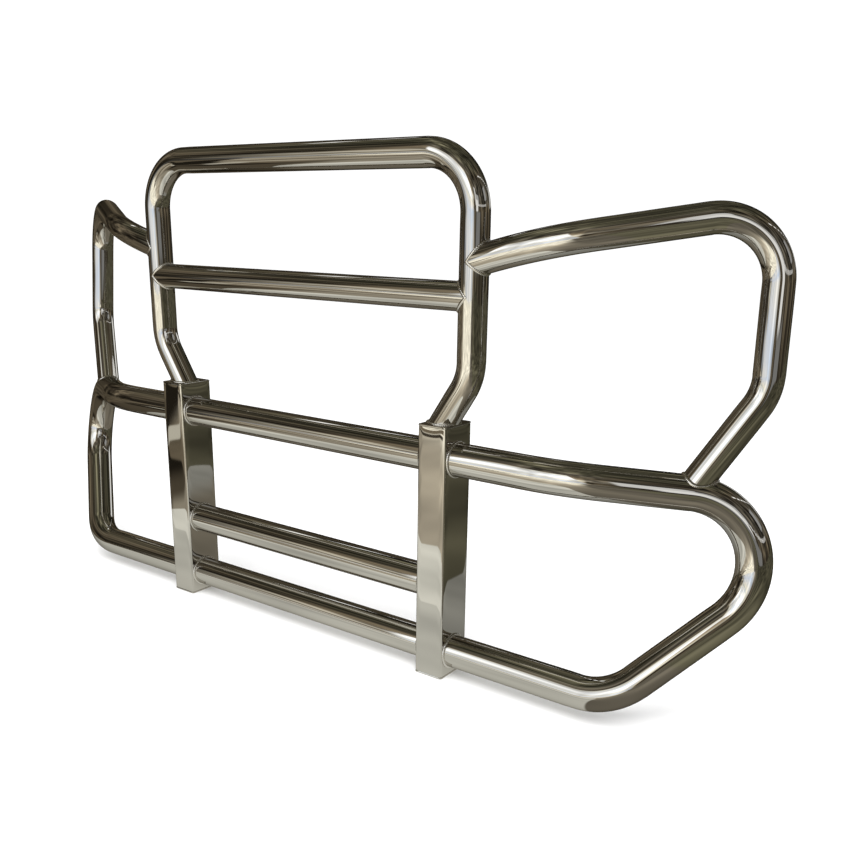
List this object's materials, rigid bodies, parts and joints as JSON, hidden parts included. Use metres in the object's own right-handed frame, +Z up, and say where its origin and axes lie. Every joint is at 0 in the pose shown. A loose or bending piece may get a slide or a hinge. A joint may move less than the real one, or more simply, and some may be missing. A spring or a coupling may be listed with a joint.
{
  "type": "front grille guard",
  "caption": "Polished tube front guard for a truck: a hoop on box uprights, cross rails, and swept side loops with wings above them.",
  "frame": {"origin": "on the ground line under the uprights, at the middle of the guard's width and depth", "axes": "+X to the right seen from in front of the guard, +Y back towards the truck, +Z up; left and right in node names are as seen from in front"},
  "size_m": [2.261, 0.2976, 1.1957],
  "materials": {
    "polished_tube": "mirror-polished stainless steel tube, 2 mm wall",
    "polished_box": "mirror-polished stainless steel box section, 3 mm wall, faint lengthwise polishing lines",
    "weld_bead": "bright TIG weld bead, brushed",
    "plain_steel": "plain rolled steel, unpolished"
  },
  "bodies": {
    "root": {"hoop_tube": "polished_tube", "hoop_crossbar": "polished_tube", "upper_rail": "polished_tube", "middle_rail": "polished_tube", "lower_rail": "polished_tube", "left_upright": "polished_box", "right_upright": "polished_box", "left_top_cap": "polished_box", "right_top_cap": "polished_box", "left_bottom_cap": "polished_box", "right_bottom_cap": "polished_box", "left_loop_tube": "polished_tube", "right_loop_tube": "polished_tube", "left_wing_tube": "polished_tube", "right_wing_tube": "polished_tube", "left_mount_plate": "plain_steel", "right_mount_plate": "plain_steel", "left_weld_nuts": "plain_steel", "right_weld_nuts": "plain_steel", "hoop_foot_welds": "weld_bead", "crossbar_welds": "weld_bead", "upper_rail_welds": "weld_bead", "middle_rail_welds": "weld_bead", "lower_rail_welds": "weld_bead", "left_loop_welds": "weld_bead", "right_loop_welds": "weld_bead", "left_wing_welds": "weld_bead", "right_wing_welds": "weld_bead"}
  },
  "joints": []
}
